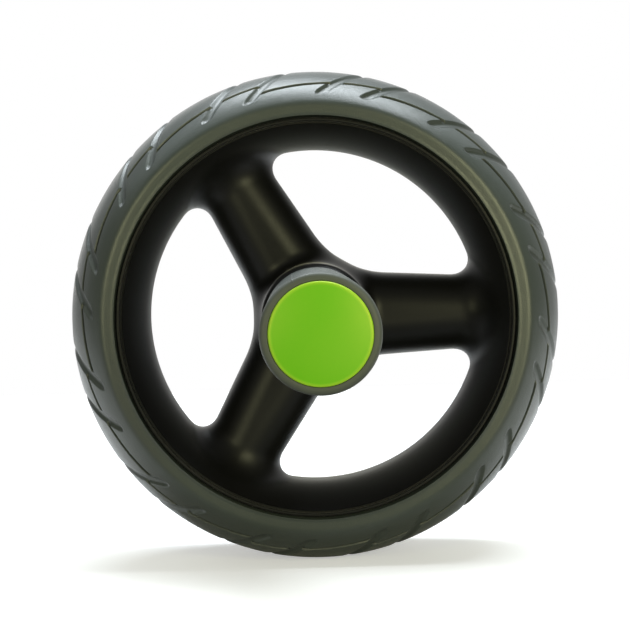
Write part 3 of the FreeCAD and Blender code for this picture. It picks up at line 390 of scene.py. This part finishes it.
# Screw wells in the left-hand spokes: round holes with a flared mouth, cut from the moulding.
def cutWells(piece, w):
    mouthRadius = w["wellRadius"] + w["wellFlare"]
    well = roundedProfile([
        (0, w["wellFloor"], 0), (w["wellRadius"], w["wellFloor"], w["wellRound"]),
        (w["wellRadius"], w["wellMouth"], 0), (mouthRadius, w["wellTop"], 0), (0, w["wellTop"], 0),
    ], closed=False, steps=4)
    grid = turned(well, fullCircle(w["wellSides"]), 1)
    grids = []
    for turn in (0, 2, 4):
        angle = turn * math.pi / 3
        place = w["screwCircle"] * np.array([math.cos(angle), 0, math.sin(angle)])
        grids.append((grid + place, True, False))
    cutter = pieceFromGrids("wellCutter", grids)
    cut = piece.modifiers.new("wells", "BOOLEAN")
    cut.operation = "DIFFERENCE"
    cut.object = cutter
    cut.solver = "EXACT"
    shown = bpy.context.evaluated_depsgraph_get()
    mesh = bpy.data.meshes.new_from_object(piece.evaluated_get(shown))
    piece.modifiers.clear()
    piece.data = mesh
    bpy.data.objects.remove(cutter)
    shadeSmooth(mesh, crispAngle)


cutWells(wheelLeft, wheelSizes)
for piece, node in ((wheelRight, "wheel_half_right"), (wheelLeft, "wheel_half_left")):
    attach(piece, "wheel")
    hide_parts(node)
print("wheel done")


# Grips: soft sleeve with a rounded end ring, and ring grooves along the body.
gripSizes = {
    "inside": 17.07, "radius": 20.42, "start": 38.5, "end": 150.5,
    "insideRound": 0.3, "startRound": 1.2, "endRound": 1.9,
    "pocket": 17.52, "pocketFloor": 148.8, "pocketRound": 0.3,
    "grooves": 22, "groovePitch": 4.2, "firstGroove": 140.5, "grooveDepth": 0.7, "grooveWidth": 1.75,
    "grooveFlat": 0.4, "grooveEdgeRound": 0.3, "grooveFloorRound": 0.25,
    "partingAngles": (117, 297), "partingRise": 0.14, "partingHalf": 0.7, "partingClear": 1.5,
    "partingInset": 0.5, "columns": 128, "sharpAngle": 60,
}


# Sleeve section: corners with rounds, a shallow rounded groove at each pitch, turned about the axle;
# the mould's parting lines stand a little proud, as rise * (1 - |a - a0| / half).
def gripSurface(g, side):
    middles = g["firstGroove"] - g["groovePitch"] * np.arange(g["grooves"])[::-1]
    wide, flat = g["grooveWidth"] / 2, g["grooveFlat"] * g["grooveWidth"] / 2
    deep = g["radius"] - g["grooveDepth"]
    edgeRound, floorRound = g["grooveEdgeRound"], g["grooveFloorRound"]
    section = [(g["inside"], g["start"], g["insideRound"]), (g["radius"], g["start"], g["startRound"])]
    for middle in middles:
        section += [(g["radius"], middle - wide, edgeRound), (deep, middle - flat, floorRound),
                    (deep, middle + flat, floorRound), (g["radius"], middle + wide, edgeRound)]
    section += [(g["radius"], g["end"], g["endRound"]), (g["pocket"], g["end"], g["pocketRound"]),
                (g["pocket"], g["pocketFloor"], 0), (g["inside"], g["pocketFloor"], 0)]
    parting = np.radians(g["partingAngles"])
    half = math.radians(g["partingHalf"])
    near = (parting[:, None] + half * np.array([-1, -0.5, 0, 0.5, 1])).ravel()
    plain = fullCircle(g["columns"])
    apart = np.abs(plain[:, None] - parting).min(1)
    angles = np.sort(np.concatenate([plain[apart > g["partingClear"] * half], near]))
    points = turned(roundedProfile(section, steps=5), angles, side)
    ridge = g["partingRise"] * np.clip(1 - np.abs(angles[:, None] - parting).min(1) / half, 0, 1)
    radius = np.hypot(points[..., 0], points[..., 2])
    outside = radius > g["pocket"] + g["partingInset"]
    swell = 1 + ridge[:, None] * outside / radius
    return points * np.stack([swell, np.ones(swell.shape), swell], -1)


# End caps: disc with a shallow dome and a rounded edge painted paler, a painted highlight.
capSizes = {
    "radius": 17.46, "top": 152.7, "rim": 151.2, "floor": 148.82, "edgeRound": 0.75, "floorRound": 0.2,
    "paleStart": 16.2, "paleFull": 17.3, "centreRadius": 1e-5, "domeRings": 26, "columns": 128,
    "sharpAngle": 60,
}


# Dome: along = top - r^2 / (2 R), turned about the axle; the painted highlight share eases in with the
# radius.
def capSurface(c, side):
    domeBend = (c["radius"] ** 2 + (c["top"] - c["rim"]) ** 2) / (2 * (c["top"] - c["rim"]))
    across = np.linspace(0, c["radius"], c["domeRings"])[1:-1]
    dome = np.stack([across, c["top"] - across ** 2 / (2 * domeBend), 0 * across], -1)
    corners = np.concatenate([
        [(c["centreRadius"], c["top"], 0)],
        dome,
        [(c["radius"], c["rim"], c["edgeRound"]), (c["radius"], c["floor"], c["floorRound"]),
         (c["centreRadius"], c["floor"], 0)],
    ])
    points = turned(roundedProfile(corners, closed=False, steps=5), fullCircle(c["columns"]), side)
    # Painted highlight: share of a paler tone at the rounded edge, standing in for light caught there.
    pale = ease(c["paleStart"], c["paleFull"], np.hypot(points[..., 0], points[..., 2]))
    return points, pale


handles = {}
for name, side in (("right", -1), ("left", 1)):
    label = name.capitalize()
    gripGrid = (gripSurface(gripSizes, side), True, True)
    grip = pieceFromGrids("grip" + label, [gripGrid], gripSizes["sharpAngle"])
    capPoints, capEdgeHighlight = capSurface(capSizes, side)
    capGrid = (capPoints, True, False)
    cap = pieceFromGrids("endCap" + label, [capGrid], capSizes["sharpAngle"], {"pale": capEdgeHighlight})
    for piece, node, slot in ((grip, "grip_", "grip_rubber"), (cap, "end_cap_", "cap_plastic")):
        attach(piece, "handlebar")
        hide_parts(node + name)
    handles[name] = (grip, cap)
print("handles done")


# Shader group: fine moulded grain, broad blotches and specks from noise on Object coordinates.
def grainGroup():
    noiseLow, noiseHigh = 0.3, 0.7
    group = bpy.data.node_groups.new("mouldGrain", "ShaderNodeTree")
    layers = (("Grain Scale", "Height", 3), ("Blotch Scale", "Blotch", 4), ("Speck Scale", "Speck", 2))
    for scale, output, _ in layers:
        group.interface.new_socket(scale, in_out="INPUT", socket_type="NodeSocketFloat")
        group.interface.new_socket(output, in_out="OUTPUT", socket_type="NodeSocketFloat")
    nodes, links = group.nodes, group.links
    entry = nodes.new("NodeGroupInput")
    leave = nodes.new("NodeGroupOutput")
    place = nodes.new("ShaderNodeTexCoord")
    for scale, output, detail in layers:
        noise = nodes.new("ShaderNodeTexNoise")
        noise.inputs["Detail"].default_value = detail
        links.new(place.outputs["Object"], noise.inputs["Vector"])
        links.new(entry.outputs[scale], noise.inputs["Scale"])
        spread = nodes.new("ShaderNodeMapRange")
        spread.inputs["From Min"].default_value = noiseLow
        spread.inputs["From Max"].default_value = noiseHigh
        links.new(noise.outputs["Fac"], spread.inputs["Value"])
        links.new(spread.outputs["Result"], leave.inputs[output])
    return group


# Shader group: base colour drifts towards a second tone by the blotches and specks, and roughness with them.
def toneGroup():
    blotchShare = 0.6
    speckShare = 0.4
    group = bpy.data.node_groups.new("toneDrift", "ShaderNodeTree")
    face = group.interface
    for socket in ("Base", "Second"):
        face.new_socket(socket, in_out="INPUT", socket_type="NodeSocketColor")
    for socket in ("Amount", "Blotch", "Speck", "Smooth", "Rough"):
        face.new_socket(socket, in_out="INPUT", socket_type="NodeSocketFloat")
    face.new_socket("Color", in_out="OUTPUT", socket_type="NodeSocketColor")
    face.new_socket("Roughness", in_out="OUTPUT", socket_type="NodeSocketFloat")
    nodes, links = group.nodes, group.links
    entry = nodes.new("NodeGroupInput")
    leave = nodes.new("NodeGroupOutput")
    both = nodes.new("ShaderNodeMath")
    both.operation = "MULTIPLY_ADD"
    both.inputs[1].default_value = blotchShare
    links.new(entry.outputs["Blotch"], both.inputs[0])
    share = nodes.new("ShaderNodeMath")
    share.operation = "MULTIPLY"
    share.inputs[1].default_value = speckShare
    links.new(entry.outputs["Speck"], share.inputs[0])
    links.new(share.outputs[0], both.inputs[2])
    amount = nodes.new("ShaderNodeMath")
    amount.operation = "MULTIPLY"
    links.new(both.outputs[0], amount.inputs[0])
    links.new(entry.outputs["Amount"], amount.inputs[1])
    mix = nodes.new("ShaderNodeMix")
    mix.data_type = "RGBA"
    links.new(amount.outputs[0], mix.inputs["Factor"])
    links.new(entry.outputs["Base"], mix.inputs["A"])
    links.new(entry.outputs["Second"], mix.inputs["B"])
    links.new(mix.outputs["Result"], leave.inputs["Color"])
    rough = nodes.new("ShaderNodeMapRange")
    links.new(both.outputs[0], rough.inputs["Value"])
    links.new(entry.outputs["Smooth"], rough.inputs["To Min"])
    links.new(entry.outputs["Rough"], rough.inputs["To Max"])
    links.new(rough.outputs["Result"], leave.inputs["Roughness"])
    return group


mouldGrain = grainGroup()
toneDrift = toneGroup()


# Finish from a dictionary: tone drift for colour and roughness, grain for bump, plain values on the shader.
def finish(name, f):
    material = bpy.data.materials.new(name)
    material.use_nodes = True
    nodes, links = material.node_tree.nodes, material.node_tree.links
    shader = nodes["Principled BSDF"]
    grain = nodes.new("ShaderNodeGroup")
    grain.node_tree = mouldGrain
    tone = nodes.new("ShaderNodeGroup")
    tone.node_tree = toneDrift
    for socket, key in (("Grain Scale", "grain"), ("Blotch Scale", "blotch"), ("Speck Scale", "speck")):
        grain.inputs[socket].default_value = f[key]
    tone.inputs["Base"].default_value = (*f["base"], 1)
    tone.inputs["Second"].default_value = (*f["second"], 1)
    for socket, key in (("Amount", "amount"), ("Smooth", "smooth"), ("Rough", "rough")):
        tone.inputs[socket].default_value = f[key]
    links.new(grain.outputs["Blotch"], tone.inputs["Blotch"])
    links.new(grain.outputs["Speck"], tone.inputs["Speck"])
    links.new(tone.outputs["Color"], shader.inputs["Base Color"])
    links.new(tone.outputs["Roughness"], shader.inputs["Roughness"])
    bump = nodes.new("ShaderNodeBump")
    bump.inputs["Strength"].default_value = f["bump"]
    bump.inputs["Distance"].default_value = f["bumpDepth"] * mm
    links.new(grain.outputs["Height"], bump.inputs["Height"])
    links.new(bump.outputs["Normal"], shader.inputs["Normal"])
    shader.inputs["Metallic"].default_value = f.get("metallic", 0)
    shader.inputs["Specular IOR Level"].default_value = f.get("specular", 0.5)
    shader.inputs["Specular Tint"].default_value = (*f.get("specularTint", (1, 1, 1)), 1)
    shader.inputs["Sheen Weight"].default_value = f.get("sheen", 0)
    shader.inputs["Sheen Roughness"].default_value = f.get("sheenRough", 0)
    if "tint" in f:
        paintedLightTint(material, *f["tint"])
    return material


# Second tone by values kept on the points: painted shade, dark in the tyre's stepped line, and a painted
# highlight, pale at the end caps' edge.
def paintedLightTint(material, attribute, shade, amount):
    nodes, links = material.node_tree.nodes, material.node_tree.links
    shader = nodes["Principled BSDF"]
    colour = shader.inputs["Base Color"].links[0].from_socket
    kept = nodes.new("ShaderNodeAttribute")
    kept.attribute_name = attribute
    share = nodes.new("ShaderNodeMath")
    share.operation = "MULTIPLY"
    share.inputs[1].default_value = amount
    links.new(kept.outputs["Fac"], share.inputs[0])
    mix = nodes.new("ShaderNodeMix")
    mix.data_type = "RGBA"
    mix.inputs["B"].default_value = (*shade, 1)
    links.new(share.outputs[0], mix.inputs["Factor"])
    links.new(colour, mix.inputs["A"])
    links.new(mix.outputs["Result"], shader.inputs["Base Color"])


# Noise scales are per metre, bump depths millimetres; a tint of painted shade or painted highlight is (point
# values, shade, amount).
finishes = {
    "tyreRubber": {
        "base": (0.0405, 0.05, 0.047), "second": (0.0505, 0.06, 0.057), "amount": 0.6, "smooth": 0.3,
        "rough": 0.38, "grain": 2100, "blotch": 22, "speck": 700, "bump": 0.4, "bumpDepth": 0.08,
        # The stepped line gets painted shade: a dark tone mixed in by its share.
        "specular": 0.5, "tint": ("slit", (0.012, 0.014, 0.012), 0.7)},
    "wheelPlastic": {
        "base": (0.003, 0.003, 0.003), "second": (0.0045, 0.0045, 0.0045), "amount": 0.5, "smooth": 0.36,
        "rough": 0.44, "grain": 2200, "blotch": 16, "speck": 500, "bump": 0.05, "bumpDepth": 0.02,
        "specular": 0.24, "sheen": 0.25, "sheenRough": 0.3},
    "gripRubber": {
        "base": (0.068, 0.077, 0.072), "second": (0.084, 0.094, 0.088), "amount": 0.5, "smooth": 0.42,
        "rough": 0.54, "grain": 1800, "blotch": 40, "speck": 600, "bump": 0.2, "bumpDepth": 0.06,
        "specular": 0.3},
    "capPlastic": {
        "base": (0.092, 0.47, 0.001), "second": (0.132, 0.48, 0.003), "amount": 0.5, "smooth": 0.36,
        "rough": 0.44, "grain": 2600, "blotch": 45, "speck": 900, "bump": 0.06, "bumpDepth": 0.02,
        # The end caps' edge gets a painted highlight: a paler yellow-green mixed in by its share.
        "specular": 1, "specularTint": (1, 0.68, 0.3), "tint": ("pale", (0.36, 0.63, 0.035), 0.85)},
    "turnedSteel": {
        "base": (0.5, 0.51, 0.52), "second": (0.42, 0.42, 0.43), "amount": 0.5, "smooth": 0.22,
        "rough": 0.38, "grain": 1200, "blotch": 60, "speck": 900, "bump": 0.1, "bumpDepth": 0.02,
        "metallic": 1},
    "zincFastener": {
        "base": (0.58, 0.59, 0.6), "second": (0.48, 0.5, 0.54), "amount": 0.6, "smooth": 0.25,
        "rough": 0.42, "grain": 1500, "blotch": 90, "speck": 700, "bump": 0.12, "bumpDepth": 0.02,
        "metallic": 1},
    "blackScrew": {
        "base": (0.035, 0.035, 0.038), "second": (0.06, 0.06, 0.062), "amount": 0.6, "smooth": 0.3,
        "rough": 0.45, "grain": 1500, "blotch": 120, "speck": 800, "bump": 0.1, "bumpDepth": 0.02,
        "metallic": 0.6},
    "groundSteel": {
        "base": (0.66, 0.66, 0.67), "second": (0.58, 0.58, 0.6), "amount": 0.4, "smooth": 0.1,
        "rough": 0.2, "grain": 2500, "blotch": 80, "speck": 900, "bump": 0.04, "bumpDepth": 0.01,
        "metallic": 1},
    "sealRubber": {
        "base": (0.012, 0.012, 0.012), "second": (0.02, 0.02, 0.02), "amount": 0.5, "smooth": 0.55,
        "rough": 0.7, "grain": 1800, "blotch": 90, "speck": 600, "bump": 0.2, "bumpDepth": 0.04,
        "specular": 0.4},
    "cageNylon": {
        "base": (0.5, 0.45, 0.34), "second": (0.56, 0.51, 0.4), "amount": 0.5, "smooth": 0.4,
        "rough": 0.52, "grain": 1400, "blotch": 100, "speck": 700, "bump": 0.12, "bumpDepth": 0.03,
        "specular": 0.45},
    "coverPlastic": {
        "base": (0.008, 0.008, 0.008), "second": (0.014, 0.014, 0.013), "amount": 0.5, "smooth": 0.38,
        "rough": 0.5, "grain": 1900, "blotch": 60, "speck": 600, "bump": 0.15, "bumpDepth": 0.03,
        "specular": 0.35},
    "corePlastic": {
        "base": (0.035, 0.035, 0.035), "second": (0.05, 0.05, 0.048), "amount": 0.5, "smooth": 0.45,
        "rough": 0.6, "grain": 1700, "blotch": 50, "speck": 500, "bump": 0.15, "bumpDepth": 0.04,
        "specular": 0.4},
}
made = {name: finish(name, f) for name, f in finishes.items()}
tyre.data.materials.append(made["tyreRubber"])
for piece in (wheelRight, wheelLeft):
    piece.data.materials.clear()
    piece.data.materials.append(made["wheelPlastic"])
for grip, cap in handles.values():
    grip.data.materials.append(made["gripRubber"])
    cap.data.materials.append(made["capPlastic"])

nodeFinish = {
    "axle": "turnedSteel", "bearing_spacer": "turnedSteel", "clamp_collar": "turnedSteel",
    "shell_screws": "blackScrew", "end_washers": "zincFastener", "lock_nuts": "zincFastener",
    "bearing_outer_ring": "groundSteel", "bearing_inner_ring": "groundSteel", "bearing_balls": "groundSteel",
    "bearing_seals": "sealRubber", "bearing_cage": "cageNylon", "hub_cover": "coverPlastic",
    "handle_core": "corePlastic", "tyre": "tyreRubber", "wheel_half": "wheelPlastic", "grip": "gripRubber",
    "end_cap": "capPlastic",
}
for name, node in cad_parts.items():
    kind = name.removesuffix("_right").removesuffix("_left")
    for slot in node.material_slots:
        slot.material = made[nodeFinish[kind]]
print("materials done:", len(made))


# Stage: pale floor under the tyre, white to the camera where no shadow falls on it.
# The floor's first three sizes are millimetres; the beside and front marks are metres from the wheel.
stage = {
    "floorLevel": -100, "floorReach": 800, "floorFront": -250,
    "floorColor": (0.8, 0.8, 0.8), "floorRough": 0.9, "floorLift": 0.42, "floorGloss": 1.4,
    "besideStart": 0.07, "besideFull": 0.17, "frontStart": -0.13, "frontFull": 0,
    "frontColor": (0.2, 0.2, 0.2), "ambient": 0.2,
    "backdropStart": -0.05, "backdropFull": 0.68, "backdropGloss": 0.7,
}
reach = stage["floorReach"]
floorSides = np.meshgrid([-reach, reach], [stage["floorFront"], reach], [stage["floorLevel"]], indexing="ij")
floorGrid = np.stack(floorSides, -1)[:, :, 0]
floorMesh = bpy.data.meshes.new("floor")
floorMesh.from_pydata((floorGrid.reshape(-1, 3) * mm).tolist(), [], [(0, 2, 3, 1)])
floor = bpy.data.objects.new("floor", floorMesh)
bpy.context.scene.collection.objects.link(floor)
floor.visible_diffuse = False


# One Math node of the given operation on two values or sockets.
def combine(nodes, links, operation, first, second):
    node = nodes.new("ShaderNodeMath")
    node.operation = operation
    for socket, value in zip(node.inputs, (first, second)):
        if isinstance(value, (int, float)):
            socket.default_value = value
        else:
            links.new(value, socket)
    return node.outputs[0]


# Smooth step of a value from 0 at low to 1 at high.
def smoothStep(nodes, links, value, low, high):
    node = nodes.new("ShaderNodeMapRange")
    node.interpolation_type = "SMOOTHSTEP"
    node.inputs["From Min"].default_value = low
    node.inputs["From Max"].default_value = high
    links.new(value, node.inputs["Value"])
    return node.outputs["Result"]


# Coordinates of the given kind, split into X, Y and Z.
def splitPlace(nodes, links, kind):
    place = nodes.new("ShaderNodeTexCoord")
    parts = nodes.new("ShaderNodeSeparateXYZ")
    links.new(place.outputs[kind], parts.inputs["Vector"])
    return parts.outputs


# Share of white: all of it for camera and transmission rays, and the given share for glossy rays.
def whiteShare(nodes, links, path, glossShare):
    camera, through = path.outputs["Is Camera Ray"], path.outputs["Is Transmission Ray"]
    direct = combine(nodes, links, "MAXIMUM", camera, through)
    glossy = combine(nodes, links, "MULTIPLY", path.outputs["Is Glossy Ray"], glossShare)
    return combine(nodes, links, "MAXIMUM", direct, glossy)


# White backdrop: glossy rays see it where they leave towards +Y, eased across the side.
def backdropRays(nodes, links):
    path = nodes.new("ShaderNodeLightPath")
    parts = splitPlace(nodes, links, "Generated")
    behind = smoothStep(nodes, links, parts["Y"], stage["backdropStart"], stage["backdropFull"])
    glossShare = combine(nodes, links, "MULTIPLY", behind, stage["backdropGloss"])
    return whiteShare(nodes, links, path, glossShare)


# Floor: lifted to white; glossy rays see it white beside the wheel and dark in front of it.
def floorRays(nodes, links, shader):
    path = nodes.new("ShaderNodeLightPath")
    parts = splitPlace(nodes, links, "Object")
    sideways = combine(nodes, links, "ABSOLUTE", parts["X"], 0)
    beside = smoothStep(nodes, links, sideways, stage["besideStart"], stage["besideFull"])
    glossShare = combine(nodes, links, "MULTIPLY", beside, stage["floorGloss"])
    seen = whiteShare(nodes, links, path, glossShare)
    lift = combine(nodes, links, "MULTIPLY", seen, stage["floorLift"])
    links.new(lift, shader.inputs["Emission Strength"])
    front = smoothStep(nodes, links, parts["Y"], stage["frontFull"], stage["frontStart"])
    darkened = combine(nodes, links, "MULTIPLY", path.outputs["Is Glossy Ray"], front)
    tone = nodes.new("ShaderNodeMix")
    tone.data_type = "RGBA"
    tone.inputs["A"].default_value = (*stage["floorColor"], 1)
    tone.inputs["B"].default_value = (*stage["frontColor"], 1)
    links.new(darkened, tone.inputs["Factor"])
    links.new(tone.outputs["Result"], shader.inputs["Base Color"])


paleFloor = bpy.data.materials.new("paleFloor")
paleFloor.use_nodes = True
floorNodes, floorLinks = paleFloor.node_tree.nodes, paleFloor.node_tree.links
floorShader = floorNodes["Principled BSDF"]
floorShader.inputs["Roughness"].default_value = stage["floorRough"]
floorShader.inputs["Specular IOR Level"].default_value = 0
floorShader.inputs["Emission Color"].default_value = (1, 1, 1, 1)
floorRays(floorNodes, floorLinks, floorShader)
paleFloor.cycles.emission_sampling = "NONE"
floorMesh.materials.append(paleFloor)

scene = bpy.context.scene
world = bpy.data.worlds.new("studio")
world.use_nodes = True
world.cycles.sampling_method = "NONE"
scene.world = world
skyNodes, skyLinks = world.node_tree.nodes, world.node_tree.links
soft = skyNodes["Background"]
soft.inputs["Color"].default_value = (1, 1, 1, 1)
soft.inputs["Strength"].default_value = stage["ambient"]
white = skyNodes.new("ShaderNodeBackground")
white.inputs["Color"].default_value = (1, 1, 1, 1)
white.inputs["Strength"].default_value = 1
choose = skyNodes.new("ShaderNodeMixShader")
skyLinks.new(backdropRays(skyNodes, skyLinks), choose.inputs[0])
skyLinks.new(soft.outputs[0], choose.inputs[1])
skyLinks.new(white.outputs[0], choose.inputs[2])
skyLinks.new(choose.outputs[0], skyNodes["World Output"].inputs["Surface"])

# Soft boxes: place, width, height (metres), watts and tint; each faces the wheel.
softBoxes = {
    "topBox": ((0.08, 0.13, 0.95), 1.0, 0.28, 14.8, (0.88, 0.95, 1)),
    "topWide": ((-0.02, 0.13, 0.93), 2.4, 0.28, 4.7, (0.88, 0.96, 1)),
    "frontLeft": ((-0.53, -1.05, 0.18), 0.3, 0.48, 3.2, (1, 0.985, 0.56)),
    "frontRight": ((0.53, -0.95, 0.18), 0.36, 0.48, 5.5, (1, 0.985, 0.56)),
    "frontLow": ((0.2, -1.0, -0.22), 0.56, 0.16, 0.75, (1, 0.985, 0.6)),
    "backFill": ((-0.25, 1.1, 0.35), 1.2, 0.7, 1.8, (1, 0.99, 0.95)),
}
for name, (place, width, height, watts, tint) in softBoxes.items():
    lamp = bpy.data.lights.new(name, "AREA")
    lamp.shape = "RECTANGLE"
    lamp.size = width
    lamp.size_y = height
    lamp.energy = watts
    lamp.color = tint
    box = bpy.data.objects.new(name, lamp)
    box.location = place
    box.rotation_euler = (-Vector(place)).to_track_quat("-Z", "Y").to_euler()
    scene.collection.objects.link(box)

# Camera: about 0.7 m in front of the wheel, a little above and left of the axle, rolled slightly.
view = {
    "place": (-0.0078, -0.700, 0.0296), "aim": (-0.0001, 0, -0.00005), "roll": -1.4,
    "pixelFocus": 1682, "imageSize": 630, "sensorWidth": 36, "clipStart": 0.05, "clipEnd": 50,
}
camera = bpy.data.cameras.new("camera")
camera.sensor_width = view["sensorWidth"]
camera.lens = view["pixelFocus"] / view["imageSize"] * view["sensorWidth"]
camera.clip_start = view["clipStart"]
camera.clip_end = view["clipEnd"]
eye = bpy.data.objects.new("camera", camera)
look = (Vector(view["aim"]) - Vector(view["place"])).to_track_quat("-Z", "Y").to_matrix()
roll = Matrix.Rotation(math.radians(view["roll"]), 3, "Z")
eye.matrix_world = Matrix.Translation(view["place"]) @ (look @ roll).to_4x4()
scene.collection.objects.link(eye)
scene.camera = eye
scene.view_settings.view_transform = "Standard"
print("stage done")
